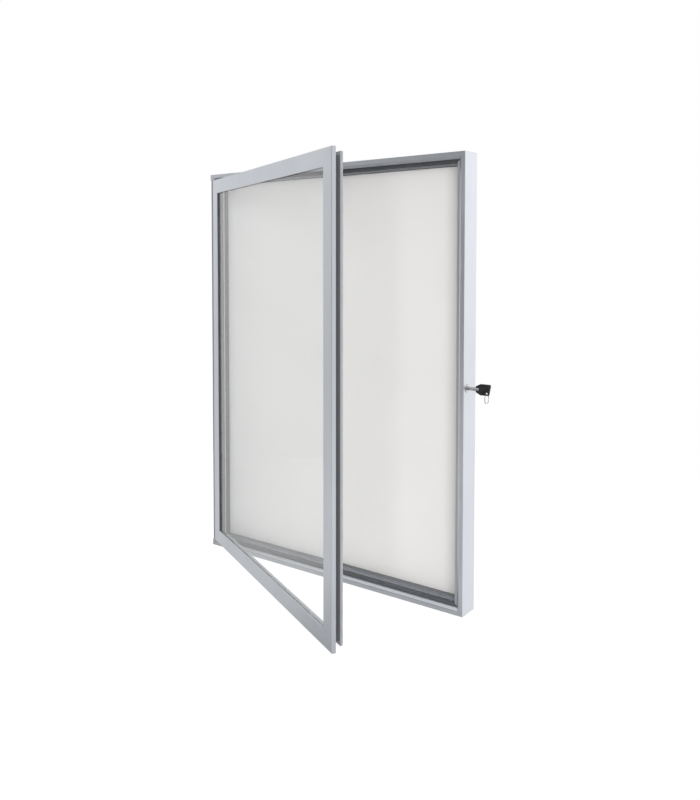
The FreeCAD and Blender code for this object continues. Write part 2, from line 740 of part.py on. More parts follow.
# Bolt: slides in the barrel's nose as the spigot turns in its bore
bolt_tail = "-(plug_length + 2 * lock_gap)"
bolt_tip = f"({nose_end} + bolt_setback)"
drive_bore_end = f"({drive_end} - lock_gap)"
make_turned("lock_bolt", [
    (bolt_tail, "(drive_radius + drive_play)"), (bolt_tail, "bolt_radius"),
    (f"({bolt_tip} + edge_break)", "bolt_radius"), (bolt_tip, "(bolt_radius - edge_break)"),
    (bolt_tip, "0"), (drive_bore_end, "0"), (drive_bore_end, "(drive_radius + drive_play)"),
])

# Key stem: a steel tube that goes into the keyway, closed inside the bow
stem_end = f"({keyway_end} + key_fit)"
post_end = f"({plug_face} + key_fit)"
make_turned("key_stem", [
    (stem_end, "key_tube_bore"), (stem_end, "key_tube_radius"), ("key_reach", "key_tube_radius"),
    ("key_reach", "0"), (post_end, "0"), (post_end, "key_tube_bore"),
])

# Key bow: a flat plastic grip with a tapered neck and a leaning end, a boss
# round the end of the stem, and a hole for the ring
body = new_body("key_bow")
half = "(bow_height / 2)"
neck_half = "(bow_neck_height / 2)"
grip = new_sketch(body, "BowOutline", "XZ_Plane")
add_outline(grip, [
    ("bow_start", neck_half), ("bow_start", f"-{neck_half}"), ("bow_shoulder", f"-{half}"),
    ("(bow_end - bow_lean)", f"-{half}"), ("bow_end", half), ("bow_shoulder", half),
])
grip_pad = pad(body, grip, "bow_thickness", midplane=True)
doc.recompute()
upright = [f"Edge{i}" for i, edge in enumerate(grip_pad.Shape.Edges, start=1)
           if abs(edge.tangentAt(edge.FirstParameter).y) > 0.9
           and edge.CenterOfMass.x > value("bow_shoulder") - 1]
rounding = body.newObject("PartDesign::Fillet", "BowCorners")
rounding.Base = (grip_pad, upright)
bind(rounding, Radius="bow_corner")
doc.recompute()
rim = [f"Edge{i}" for i, edge in enumerate(rounding.Shape.Edges, start=1)
       if abs(abs(edge.CenterOfMass.y) - value("bow_thickness") / 2) < 0.01]
softening = body.newObject("PartDesign::Chamfer", "BowRim")
softening.Base = (rounding, rim)
bind(softening, Size="bow_edge")
boss = new_sketch(body, "BowBoss", "XZ_Plane")
add_outline(boss, [
    ("boss_start", "0"), ("boss_start", "(boss_radius - edge_break)"),
    ("(boss_start + edge_break)", "boss_radius"), ("(boss_end - bow_corner)", "boss_radius"),
    ("boss_end", "(boss_radius - bow_corner)"), ("boss_end", "0"),
])
revolve(body, boss)
socket = new_sketch(body, "StemSocket", "YZ_Plane", "(bow_start - edge_break)")
add_circle(socket, "0", "0", "(key_tube_radius + key_fit)")
pocket(body, socket, "(key_reach + key_fit - bow_start + edge_break)", reverse=True)
ring_x = "(bow_end - ring_hole_from_end)"
ring_z = f"-({half} - ring_hole_from_edge)"
eye = new_sketch(body, "RingHole", "XZ_Plane", "-bow_thickness")
add_circle(eye, ring_x, ring_z, "ring_hole_radius")
pocket(body, eye, "(2 * bow_thickness)", reverse=True)
bind(body, Placement=lock_place)

# Key ring: two pressed turns of flat wire, with a groove between them inside
# and out, hanging through the hole square to the bow
ring_outer = "(ring_radius + ring_wire)"
ring_inner = "(ring_radius - ring_wire)"
make_turned("key_ring", [
    ("-ring_width", ring_inner), ("-ring_width", ring_outer), ("-ring_turn_groove", ring_outer),
    ("0", f"({ring_outer} - ring_turn_groove)"), ("ring_turn_groove", ring_outer),
    ("ring_width", ring_outer), ("ring_width", ring_inner), ("ring_turn_groove", ring_inner),
    ("0", f"({ring_inner} + ring_turn_groove)"), ("-ring_turn_groove", ring_inner),
], on_board(f"(board_width + {ring_x})", "lock_depth",
            f"(lock_height + {ring_z} - ring_hang - ring_radius)"))

doc.recompute()

# Every object has to be sound before anything is written
for item in doc.Objects:
    faults = [state for state in item.State if state in ("Invalid", "Error")]
    if faults:
        raise RuntimeError(f"{item.Name} is {faults}")
for name, item in pieces.items():
    shape = item.Shape
    if shape.isNull() or not shape.isValid() or shape.Volume <= 0:
        raise RuntimeError(f"{name} has no sound shape")
for name, item in pieces.items():
    item.Shape.exportStep(f"parts/{name}.step")
print(len(pieces), "pieces written")
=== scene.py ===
import json
import math

import bpy
from mathutils import Matrix, Vector


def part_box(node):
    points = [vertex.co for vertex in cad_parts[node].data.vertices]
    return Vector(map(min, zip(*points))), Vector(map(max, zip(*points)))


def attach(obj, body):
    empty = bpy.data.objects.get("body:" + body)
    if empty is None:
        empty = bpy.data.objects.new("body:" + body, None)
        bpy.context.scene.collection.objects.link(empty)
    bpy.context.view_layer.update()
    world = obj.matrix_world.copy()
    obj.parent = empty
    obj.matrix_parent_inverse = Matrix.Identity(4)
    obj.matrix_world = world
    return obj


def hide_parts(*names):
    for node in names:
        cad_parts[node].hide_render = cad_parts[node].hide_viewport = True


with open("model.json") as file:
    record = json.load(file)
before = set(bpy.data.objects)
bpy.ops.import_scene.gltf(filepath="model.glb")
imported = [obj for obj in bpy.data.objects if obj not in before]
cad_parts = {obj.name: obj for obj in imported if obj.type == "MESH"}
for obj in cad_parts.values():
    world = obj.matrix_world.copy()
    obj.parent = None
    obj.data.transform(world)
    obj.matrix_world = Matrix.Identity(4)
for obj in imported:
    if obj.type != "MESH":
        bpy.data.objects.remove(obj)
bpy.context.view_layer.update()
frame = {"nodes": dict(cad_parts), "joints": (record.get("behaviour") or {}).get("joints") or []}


# Case sides:
# Four lengths of one hollow aluminium extrusion, satin anodised in its natural colour, sawn at 45 degrees and
# drawn together by cleats. The press leaves fine lines along each length, so every side has its own grain
# direction. Shade is painted into each side's deep channels, by different amounts on each side, as light
# falls on them differently.

def add_node(tree, kind, inputs=None, **settings):
    """A node with its settings, and values or links for its inputs."""
    item = tree.nodes.new(kind)
    for name, setting in settings.items():
        setattr(item, name, setting)
    for key, given in (inputs or {}).items():
        if isinstance(given, bpy.types.NodeSocket):
            tree.links.new(given, item.inputs[key])
        else:
            item.inputs[key].default_value = given
    return item


def math_node(tree, operation, *values):
    return add_node(tree, "ShaderNodeMath", dict(enumerate(values)), operation=operation).outputs[0]


def mix_values(tree, first, second, share):
    """Two values mixed, the second one by its share."""
    return math_node(tree, "MULTIPLY_ADD", second, share, math_node(tree, "MULTIPLY", first, 1.0 - share))


def spread(tree, factor, low, high, to_low, to_high):
    """A factor's range mapped onto another range, without overshoot."""
    return add_node(tree, "ShaderNodeMapRange", {
        "Value": factor, "From Min": low, "From Max": high, "To Min": to_low, "To Max": to_high,
    }).outputs["Result"]


def ramp(tree, factor, low, high, low_colour, high_colour):
    """Two colours blended between two factor values."""
    item = add_node(tree, "ShaderNodeValToRGB", {"Fac": factor})
    for stop, place, colour in zip(item.color_ramp.elements, (low, high), (low_colour, high_colour)):
        stop.position = place
        stop.color = (*colour, 1.0)
    return item.outputs["Color"]


def blend(tree, factor, under, over):
    """A linked colour that a fixed one covers as the factor rises."""
    under_socket, over_socket, result_socket = 6, 7, 2
    return add_node(tree, "ShaderNodeMix", {"Factor": factor, under_socket: under, over_socket: (*over, 1.0)},
                    data_type="RGBA").outputs[result_socket]


def noise(tree, place, scale, detail, roughness=0.5, distortion=0.0):
    return add_node(tree, "ShaderNodeTexNoise", {
        "Vector": place, "Scale": scale, "Detail": detail, "Roughness": roughness,
        "Distortion": distortion}).outputs["Fac"]


def separate(tree, vector):
    return add_node(tree, "ShaderNodeSeparateXYZ", {"Vector": vector}).outputs


def new_material(name):
    """An empty material with its tree, shader and output, and the piece's own coordinates."""
    material = bpy.data.materials.new(name)
    material.use_nodes = True
    tree = material.node_tree
    tree.nodes.clear()
    shader = add_node(tree, "ShaderNodeBsdfPrincipled")
    end = add_node(tree, "ShaderNodeOutputMaterial", {"Surface": shader.outputs[0]})
    place = add_node(tree, "ShaderNodeTexCoord").outputs["Object"]
    return material, tree, shader, end, place


def new_group(name, vectors, numbers, results):
    """A shader node group with vector and number inputs and number results."""
    group = bpy.data.node_groups.new(name, "ShaderNodeTree")
    for labels, way, kind in ((vectors, "INPUT", "NodeSocketVector"), (numbers, "INPUT", "NodeSocketFloat"),
                              (results, "OUTPUT", "NodeSocketFloat")):
        for label in labels:
            group.interface.new_socket(label, in_out=way, socket_type=kind)
    return group, add_node(group, "NodeGroupInput").outputs, add_node(group, "NodeGroupOutput").inputs


def use_group(tree, group, inputs):
    return add_node(tree, "ShaderNodeGroup", inputs, node_tree=group).outputs


# Press lines: streaks at two widths, much longer than wide, on a vector that
# is already squeezed along the length, with a fine speckle that isn't
press_lines, lines_in, lines_out = new_group("Press lines", ("Along", "Plain"), (), ("Tone", "Height"))
fine_lines = noise(press_lines, lines_in["Along"], 1100.0, 3.0, 0.6)
broad_lines = noise(press_lines, lines_in["Along"], 130.0, 2.0)
speckle = noise(press_lines, lines_in["Plain"], 2600.0, 1.0)
streaks = mix_values(press_lines, fine_lines, broad_lines, 0.45)
press_lines.links.new(mix_values(press_lines, streaks, speckle, 0.25), lines_out["Tone"])
press_lines.links.new(mix_values(press_lines, fine_lines, speckle, 0.3), lines_out["Height"])

# Clouding: the slow, faint unevenness of a handled surface
clouding, cloud_in, cloud_out = new_group("Clouding", ("Vector",), ("Scale",), ("Mask",))
cloud = noise(clouding, cloud_in["Vector"], cloud_in["Scale"], 4.0, 0.55, 0.4)
clouding.links.new(spread(clouding, cloud, 0.32, 0.68, 0.0, 1.0), cloud_out["Mask"])

# Mitre seam: a hairline where two sides meet on the diagonal of a corner, on
# coordinates that start from the middle of the rectangle
mitre_seam, seam_in, seam_out = new_group("Mitre seam", ("Vector",), ("Offset",), ("Mask",))
seam_full, seam_gone = 0.0001, 0.0003
parts = separate(mitre_seam, seam_in["Vector"])
across, upward = (math_node(mitre_seam, "ABSOLUTE", parts[axis]) for axis in "XZ")
diagonal = math_node(mitre_seam, "SUBTRACT",
                     math_node(mitre_seam, "SUBTRACT", upward, across), seam_in["Offset"])
from_seam = math_node(mitre_seam, "ABSOLUTE", diagonal)
mitre_seam.links.new(spread(mitre_seam, from_seam, seam_full, seam_gone, 1.0, 0.0), seam_out["Mask"])

# Recess: a mask for painted shade on the faces of a rectangular frame that lie deep in a channel, counted
# inwards from the frame's outer edge and back from its front, on coordinates that start from the middle of
# its front. Faces that look forwards get no painted shade, apart from those in front of Plain From.
recess, recess_in, recess_out = new_group(
    "Recess", ("Vector", "Half"),
    ("Inset From", "Inset To", "Depth From", "Depth To", "Plain From"), ("Mask",))
parts, halves = separate(recess, recess_in["Vector"]), separate(recess, recess_in["Half"])
inset = math_node(recess, "MINIMUM", *(
    math_node(recess, "SUBTRACT", halves[axis], math_node(recess, "ABSOLUTE", parts[axis])) for axis in "XZ"))
forwards = separate(recess, add_node(recess, "ShaderNodeNewGeometry").outputs["Normal"])["Y"]
forwards_limit = 0.9
painted_shade_mask = math_node(recess, "MAXIMUM",
                 math_node(recess, "LESS_THAN", math_node(recess, "ABSOLUTE", forwards), forwards_limit),
                 math_node(recess, "LESS_THAN", parts["Y"], recess_in["Plain From"]))
for operation, measure, limit in (
        ("GREATER_THAN", inset, "Inset From"), ("LESS_THAN", inset, "Inset To"),
        ("GREATER_THAN", parts["Y"], "Depth From"), ("LESS_THAN", parts["Y"], "Depth To")):
    painted_shade_mask = math_node(recess, "MULTIPLY", painted_shade_mask, math_node(recess, operation, measure, recess_in[limit]))
recess.links.new(painted_shade_mask, recess_out["Mask"])

# Settled dust and painted top light: a thin uneven film on faces that look upwards; on the metal it is dust,
# on the rubber it is light painted where light from above falls
dust_and_top_light_group, dust_and_light_in, dust_and_light_out = new_group("Settled dust and painted top light", ("Vector",), ("Amount",), ("Mask",))
upward = separate(dust_and_top_light_group, add_node(dust_and_top_light_group, "ShaderNodeNewGeometry").outputs["Normal"])["Z"]
flecks = noise(dust_and_top_light_group, dust_and_light_in["Vector"], 380.0, 5.0, 0.7)
dust_and_top_light = math_node(dust_and_top_light_group, "MULTIPLY", spread(dust_and_top_light_group, flecks, 0.35, 0.75, 0.15, 1.0), dust_and_light_in["Amount"])
dust_and_top_light_group.links.new(math_node(dust_and_top_light_group, "MULTIPLY", spread(dust_and_top_light_group, upward, 0.3, 0.95, 0.0, 1.0), dust_and_top_light), dust_and_light_out["Mask"])

# Fine scratches: sparse hairlines in two directions, where cells' edges are
# stretched far along one way
scratches, scratch_in, scratch_out = new_group("Fine scratches", ("Vector",), ("Scale",), ("Mask",))
hairlines = 0.0
for lean, squeeze in ((0.5, 0.03), (-1.1, 0.05)):
    leaning = add_node(scratches, "ShaderNodeMapping", {
        "Vector": scratch_in["Vector"], "Rotation": (lean, lean, 0.0), "Scale": (1.0, 1.0, squeeze)})
    cells = add_node(scratches, "ShaderNodeTexVoronoi", {
        "Vector": leaning.outputs["Vector"], "Scale": scratch_in["Scale"]},
        feature="DISTANCE_TO_EDGE").outputs["Distance"]
    hairlines = math_node(scratches, "MAXIMUM", hairlines, spread(scratches, cells, 0.002, 0.006, 1.0, 0.0))
patches = spread(scratches, noise(scratches, scratch_in["Vector"], 14.0, 2.0), 0.5, 0.62, 0.0, 1.0)
scratches.links.new(math_node(scratches, "MULTIPLY", hairlines, patches), scratch_out["Mask"])


def channel(inset, depth, painted_shade, plain_from=0.0):
    """A frame's deep faces, from where to where inwards and back, and how much shade is painted on them."""
    return painted_shade, {"Inset From": inset[0], "Inset To": inset[1], "Depth From": depth[0],
                      "Depth To": depth[1], "Plain From": plain_from}


def anodised(name, along, channels, turn, middle, half, seam_shade=0.3):
    """Satin anodised extrusion of a frame that is turned about Z, its length along one axis.

    Middle is the middle of the frame's front, and half is half its width and height. Channels give the deep
    faces where shade is painted into the colour.
    """
    material, tree, shader, _, place = new_material(name)
    shift = Matrix.Rotation(turn, 3, "Z") @ Vector((*middle, 0.0))
    squared = add_node(tree, "ShaderNodeMapping", {
        "Vector": place, "Location": -shift, "Rotation": (0.0, 0.0, turn)}).outputs["Vector"]
    line_squeeze = 0.012
    squeeze = [line_squeeze if axis == along else 1.0 for axis in "XYZ"]
    along_side = add_node(tree, "ShaderNodeMapping", {"Vector": squared, "Scale": squeeze}).outputs["Vector"]
    lines = use_group(tree, press_lines, {"Along": along_side, "Plain": squared})
    cloud = use_group(tree, clouding, {"Vector": squared, "Scale": 7.0})["Mask"]
    seam = use_group(tree, mitre_seam, {"Vector": squared, "Offset": half[1] - half[0]})["Mask"]
    dust_and_top_light = use_group(tree, dust_and_top_light_group, {"Vector": squared, "Amount": 0.16})["Mask"]
    scored = use_group(tree, scratches, {"Vector": squared, "Scale": 16.0})["Mask"]
    painted_shade_mask = 0.0
    for painted_shade, limits in channels:
        mask = use_group(tree, recess, {"Vector": squared, "Half": (half[0], 0.0, half[1]), **limits})["Mask"]
        painted_shade_mask = math_node(tree, "MAXIMUM", painted_shade_mask, math_node(tree, "MULTIPLY", mask, painted_shade))
    metal = ramp(tree, lines["Tone"], 0.25, 0.75, (0.640, 0.665, 0.712), (0.708, 0.734, 0.780))
    hazed = blend(tree, spread(tree, cloud, 0.0, 1.0, 0.0, 0.18), metal, (0.585, 0.615, 0.665))
    jointed = blend(tree, math_node(tree, "MULTIPLY", seam, seam_shade), hazed, (0.10, 0.105, 0.115))
    # Painted shade: deep channel faces are darkened to near black, and are also made less metallic and less
    # shiny
    with_painted_shade = blend(tree, painted_shade_mask, jointed, (0.075, 0.078, 0.085))
    tree.links.new(blend(tree, dust_and_top_light, with_painted_shade, (0.42, 0.41, 0.39)), shader.inputs["Base Color"])
    tree.links.new(spread(tree, painted_shade_mask, 0.0, 1.0, 0.92, 0.35), shader.inputs["Metallic"])
    tree.links.new(spread(tree, painted_shade_mask, 0.0, 1.0, 0.5, 0.05), shader.inputs["Specular IOR Level"])
    roughness = math_node(tree, "ADD", spread(tree, lines["Tone"], 0.2, 0.8, 0.30, 0.40),
                          spread(tree, cloud, 0.0, 1.0, -0.02, 0.03))
    dull = math_node(tree, "MULTIPLY_ADD", painted_shade_mask, 0.2, roughness)
    tree.links.new(math_node(tree, "MULTIPLY_ADD", scored, 0.18, dull), shader.inputs["Roughness"])
    ground = add_node(tree, "ShaderNodeBump", {
        "Strength": 0.10, "Distance": 0.00004, "Height": lines["Height"]}).outputs["Normal"]
    notched = add_node(tree, "ShaderNodeBump", {
        "Strength": 0.6, "Distance": 0.0002, "Height": seam, "Normal": ground}, invert=True).outputs["Normal"]
    tree.links.new(notched, shader.inputs["Normal"])
    return material


case_low, case_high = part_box("case_lock_stile")
case_frame = {"turn": 0.0, "middle": (0.0, case_low.y), "half": (case_high.x, case_high.z)}
# The section's steps inwards: the crease where its flat front turns into the
# sloped lip, the slope, and the deep channel with the ridge
crease, slope, deep_part = (0.0087, 0.0101), (0.0095, 0.0152), (0.0152, 0.028)
# Its steps back from the front: just before and behind the face, the shelf, part
# of the way down the channel, the ridge that the door's seal meets, and the panel
before_front, behind_front, shelf, behind_shelf = -0.001, 0.0004, 0.0093, 0.011
middle_wall, ridge_front, panel_front = 0.0215, 0.0288, 0.0455
# Painted shade: each side's channels, and how dark each one is painted, differ because light falls
# differently on the top, the bottom and the two stiles
case_upright = anodised("Outer stile, anodised", "Z", (
    channel(deep_part, (shelf, panel_front), 0.92, behind_shelf),), **case_frame)
case_level = anodised("Outer rail, anodised", "X", (
    channel(deep_part, (shelf, panel_front), 1.0, behind_shelf),
    channel(slope, (behind_front, shelf), 0.22)), **case_frame)
case_lock_side = anodised("Outer lock stile, anodised", "Z", (
    channel(deep_part, (shelf, panel_front), 0.92),
    channel(deep_part, (shelf, behind_shelf), 0.3, behind_shelf)), **case_frame)
case_sill = anodised("Outer bottom rail, anodised", "X", (
    channel(deep_part, (shelf, middle_wall), 0.92, behind_shelf),
    channel(deep_part, (middle_wall, ridge_front), 0.35, behind_shelf),
    channel(deep_part, (ridge_front, panel_front), 0.75, behind_shelf),
    channel(crease, (before_front, shelf), 0.5, behind_shelf)), **case_frame)


def only(item):
    """Makes one object the active one and the only one that is selected."""
    bpy.ops.object.select_all(action="DESELECT")
    item.select_set(True)
    bpy.context.view_layer.objects.active = item
    return item


def smooth(item, angle=35.0):
    """Shades an item smoothly between its sharp edges, and keeps its flat faces flat."""
    only(item)
    bpy.ops.mesh.customdata_custom_splitnormals_clear()
    bpy.ops.object.shade_smooth_by_angle(angle=math.radians(angle))
    flat = item.modifiers.new("Flat faces", "WEIGHTED_NORMAL")
    flat.keep_sharp = True
    bpy.ops.object.modifier_apply(modifier=flat.name)
    return item


def fit(item, material, body, node):
    """Gives a finished piece its material and the body it moves with, and hides the solid it stands for."""
    item.data.materials.clear()
    item.data.materials.append(material)
    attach(item, body)
    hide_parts(node)
    return item


def round_edge(corner, first, second, radius):
    """In edit mode, rounds the long edge between two faces by cuts that touch the curve."""
    centre = corner - (first + second) * radius
    steps = 4
    for index in range(1, steps):
        angle = math.radians(90.0 * index / steps)
        outward = first * math.cos(angle) + second * math.sin(angle)
        bpy.ops.mesh.select_all(action="SELECT")
        bpy.ops.mesh.bisect(plane_co=centre + outward * radius, plane_no=outward, use_fill=True,
                            clear_outer=True)
    bpy.ops.mesh.select_all(action="SELECT")


def softened(node, width, segments, material, body, curve=None):
    """A solid's copy with its loose triangles merged and its sharp edges rounded."""
    merge_distance, flat_angle, sharp_angle = 0.000001, math.radians(0.5), math.radians(40.0)
    source = frame["nodes"][node]
    item = bpy.data.objects.new(node + "_rounded", source.data.copy())
    item.matrix_world = source.matrix_world
    bpy.context.scene.collection.objects.link(item)
    only(item)
    bpy.ops.object.mode_set(mode="EDIT")
    bpy.ops.mesh.select_all(action="SELECT")
    bpy.ops.mesh.remove_doubles(threshold=merge_distance)
    bpy.ops.mesh.dissolve_limited(angle_limit=flat_angle)
    if curve:
        round_edge(*curve)
    bpy.ops.mesh.normals_make_consistent(inside=False)
    bpy.ops.object.mode_set(mode="OBJECT")
    rounding = item.modifiers.new("Rounded edges", "BEVEL")
    rounding.width, rounding.segments = width, segments
    rounding.limit_method, rounding.angle_limit = "ANGLE", sharp_angle
    bpy.ops.object.modifier_apply(modifier=rounding.name)
    return fit(smooth(item), material, body, node)


extrusion_round = 0.00025
for side, metal in (("hinge_stile", case_upright), ("lock_stile", case_lock_side), ("top_rail", case_level),
                    ("bottom_rail", case_sill)):
    softened("case_" + side, extrusion_round, 2, metal, "case")


# Cleats and set screws:
# L-shaped corner cleats of cast aluminium sit inside the extrusions. Two hex
# set screws in each one jack the mitres shut. They are hidden once assembled.

def relief(tree, shader, height, strength, distance):
    """Bump on a shader from a height."""
    bump = add_node(tree, "ShaderNodeBump", {"Strength": strength, "Distance": distance, "Height": height})
    tree.links.new(bump.outputs["Normal"], shader.inputs["Normal"])


def cast_metal(name):
    material, tree, shader, _, place = new_material(name)
    grit = noise(tree, place, 900.0, 5.0, 0.7)
    pits = add_node(tree, "ShaderNodeTexVoronoi", {"Vector": place, "Scale": 420.0}).outputs["Distance"]
    cloud = use_group(tree, clouding, {"Vector": place, "Scale": 60.0})["Mask"]
    body = ramp(tree, grit, 0.3, 0.7, (0.40, 0.41, 0.43), (0.56, 0.57, 0.59))
    stained = blend(tree, spread(tree, cloud, 0.0, 1.0, 0.0, 0.35), body, (0.34, 0.34, 0.35))
    tree.links.new(stained, shader.inputs["Base Color"])
    shader.inputs["Metallic"].default_value = 0.9
    tree.links.new(spread(tree, grit, 0.3, 0.7, 0.48, 0.66), shader.inputs["Roughness"])
    relief(tree, shader, math_node(tree, "MULTIPLY_ADD", pits, 0.5, grit), 0.5, 0.0002)
    return material


cleat_metal = cast_metal("Cast aluminium, as cast")
for part in ("case", "door"):
    for corner in ("bottom_left", "bottom_right", "top_right", "top_left"):
        softened(f"{part}_cleat_{corner}", 0.0003, 2, cleat_metal, part)


def plated(name, dark, light, roughness):
    """Zinc or nickel plate over turned steel or brass."""
    material, tree, shader, _, place = new_material(name)
    turned_place = add_node(tree, "ShaderNodeMapping", {
        "Vector": place, "Scale": (1.0, 0.15, 0.15)}).outputs["Vector"]
    rings = noise(tree, turned_place, 1500.0, 4.0, 0.65)
    cloud = use_group(tree, clouding, {"Vector": place, "Scale": 220.0})["Mask"]
    worn = blend(tree, spread(tree, cloud, 0.0, 1.0, 0.0, 0.3), ramp(tree, rings, 0.3, 0.7, dark, light),
                 [part * 0.8 for part in dark])
    tree.links.new(worn, shader.inputs["Base Color"])
    shader.inputs["Metallic"].default_value = 1.0
    level = math_node(tree, "ADD", spread(tree, rings, 0.3, 0.7, roughness - 0.05, roughness + 0.05),
                      spread(tree, cloud, 0.0, 1.0, -0.03, 0.06))
    tree.links.new(level, shader.inputs["Roughness"])
    relief(tree, shader, rings, 0.15, 0.00005)
    return material


zinc = plated("Zinc plated steel", (0.50, 0.52, 0.55), (0.66, 0.68, 0.70), 0.34)
for part in ("case", "door"):
    softened(part + "_cleat_screws", 0.0001, 2, zinc, part)


# Display panel:
# A steel sheet in warm off-white satin enamel, which magnets hold to, glued to
# a grey foamed board. Both slide into the groove behind the case's ridge.

def enamel(name):
    material, tree, shader, _, place = new_material(name)
    cloud = use_group(tree, clouding, {"Vector": place, "Scale": 3.0})["Mask"]
    scored = use_group(tree, scratches, {"Vector": place, "Scale": 9.0})["Mask"]
    peel = noise(tree, place, 320.0, 2.0)
    tree.links.new(ramp(tree, cloud, 0.0, 1.0, (0.705, 0.695, 0.680), (0.735, 0.724, 0.712)),
                   shader.inputs["Base Color"])
    tree.links.new(math_node(tree, "MULTIPLY_ADD", scored, 0.15, spread(tree, peel, 0.3, 0.7, 0.46, 0.54)),
                   shader.inputs["Roughness"])
    shader.inputs["Specular IOR Level"].default_value = 0.3
    relief(tree, shader, peel, 0.06, 0.0002)
    return material


def foamed_board(name):
    material, tree, shader, _, place = new_material(name)
    cells = add_node(tree, "ShaderNodeTexVoronoi", {"Vector": place, "Scale": 700.0}).outputs["Distance"]
    cloud = use_group(tree, clouding, {"Vector": place, "Scale": 14.0})["Mask"]
    face = ramp(tree, cells, 0.1, 0.6, (0.36, 0.36, 0.35), (0.47, 0.47, 0.46))
    scuffed = blend(tree, spread(tree, cloud, 0.0, 1.0, 0.0, 0.25), face, (0.52, 0.51, 0.49))
    tree.links.new(scuffed, shader.inputs["Base Color"])
    tree.links.new(spread(tree, cells, 0.1, 0.6, 0.72, 0.86), shader.inputs["Roughness"])
    relief(tree, shader, cells, 0.2, 0.0002)
    return material


softened("display_panel", 0.0002, 2, enamel("Warm white enamel"), "case")
softened("backing_board", 0.0004, 2, foamed_board("Grey foamed board"), "case")


# Mounting inserts:
# Four threaded bushes, squeezed into the rear wall of the stiles so that they
# bulge behind it. Brackets or post clamps are bolted to them from behind.

def choose(test, kind="faces"):
    """In edit mode, selects only those faces or edges that the test accepts."""
    bpy.ops.object.mode_set(mode="OBJECT")
    mesh = bpy.context.object.data
    for items in (mesh.vertices, mesh.edges, mesh.polygons):
        items.foreach_set("select", [False] * len(items))
    for face in mesh.polygons if kind == "faces" else ():
        face.select = test(face.center, face.normal)
    for edge in mesh.edges if kind == "edges" else ():
        start, end = (mesh.vertices[index].co for index in edge.vertices)
        edge.select = test((start + end) / 2, (end - start).normalized())
    bpy.context.tool_settings.mesh_select_mode = (False, kind == "edges", kind == "faces")
    bpy.ops.object.mode_set(mode="EDIT")


def turned(sections, vertices=32):
    """A round piece along +Z from (height, radius) pairs, by extruding and scaling its end face."""
    (bottom, first), (height, second) = sections[:2]
    bpy.ops.object.select_all(action="DESELECT")
    bpy.ops.mesh.primitive_cylinder_add(vertices=vertices, radius=first, depth=height - bottom,
                                        location=(0.0, 0.0, (bottom + height) / 2))
    item = bpy.context.object
    bpy.ops.object.transform_apply(location=True, rotation=True, scale=True)
    choose(lambda centre, normal: normal.z > 0.9)
    bpy.ops.transform.resize(value=(second / first, second / first, 1.0), center_override=(0.0, 0.0, height))
    for (start, before), (end, after) in zip(sections[1:], sections[2:]):
        bpy.ops.mesh.extrude_region_move(TRANSFORM_OT_translate={"value": (0.0, 0.0, end - start)})
        bpy.ops.transform.resize(value=(after / before, after / before, 1.0), center_override=(0.0, 0.0, end))
    bpy.ops.mesh.select_all(action="SELECT")
    bpy.ops.mesh.normals_make_consistent(inside=False)
    bpy.ops.object.mode_set(mode="OBJECT")
    return item


def threaded(start, end, root, crest):
    """Sections of a thread's rings from one height to another."""
    pitch = 0.0008
    count = round(abs(end - start) / pitch)
    step = (end - start) / count
    return [(start + step * (index + part), radius)
            for index in range(count) for part, radius in ((0.15, crest), (0.5, root), (0.85, crest))]


def place_copies(item, name, places):
    """One object with a copy of the item's mesh at each place, its origin at the world's."""
    copies = []
    for place in places:
        copy = bpy.data.objects.new(name, item.data.copy())
        copy.data.transform(place)
        bpy.context.scene.collection.objects.link(copy)
        copies.append(copy)
    bpy.data.objects.remove(item)
    only(copies[0])
    for copy in copies:
        copy.select_set(True)
    bpy.ops.object.join()
    bpy.context.object.name = name
    return bpy.context.object


insert_low, insert_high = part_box("mounting_inserts")
insert_length = insert_high.y - insert_low.y
insert_radius, bore_radius, thread_crest, thread_depth = 0.0039, 0.0025, 0.0021, 0.0075
insert = turned(
    [(0.0, 0.0036), (0.0004, insert_radius), (0.0035, insert_radius), (0.0056, 0.0044),
     (0.0058, insert_radius), (insert_length - 0.0003, insert_radius), (insert_length, 0.0037),
     (insert_length, 0.0029), (insert_length - 0.0004, bore_radius)]
    + threaded(insert_length - 0.0006, insert_length - thread_depth, bore_radius, thread_crest)
    + [(insert_length - thread_depth - 0.0006, 0.0006)])
bulge_radius = 0.0045
insert_places = [Matrix.Translation((x, insert_low.y, z)) @ Matrix.Rotation(math.radians(-90.0), 4, "X")
                 for x in (insert_low.x + bulge_radius, insert_high.x - bulge_radius)
                 for z in (insert_low.z + bulge_radius, insert_high.z - bulge_radius)]
inserts = smooth(place_copies(insert, "threaded_inserts", insert_places))
fit(inserts, zinc, "case", "mounting_inserts")


# Hinge channel:
# A C-shaped anodised extrusion on a thin foot, screwed to the milled stile over
# the door's whole height. Nylon washers carry the ends of the door's bead.

softened("hinge_channel", 0.0002, 2, case_upright, "case")


def cube(size, centre):
    """A cube to be shaped, as the only selected object."""
    bpy.ops.object.select_all(action="DESELECT")
    bpy.ops.mesh.primitive_cube_add(size=size, location=centre)
    bpy.ops.object.transform_apply(location=True, rotation=True, scale=True)
    return bpy.context.object


def cut(item, cutter, name, operation="DIFFERENCE"):
    """Cuts one closed mesh out of another, or joins them, and removes the cutter."""
    shape = item.modifiers.new(name, "BOOLEAN")
    shape.operation, shape.object, shape.solver = operation, cutter, "EXACT"
    only(item)
    bpy.ops.mesh.customdata_custom_splitnormals_clear()
    bpy.ops.object.modifier_apply(modifier=name)
    bpy.data.objects.remove(cutter)
    return item


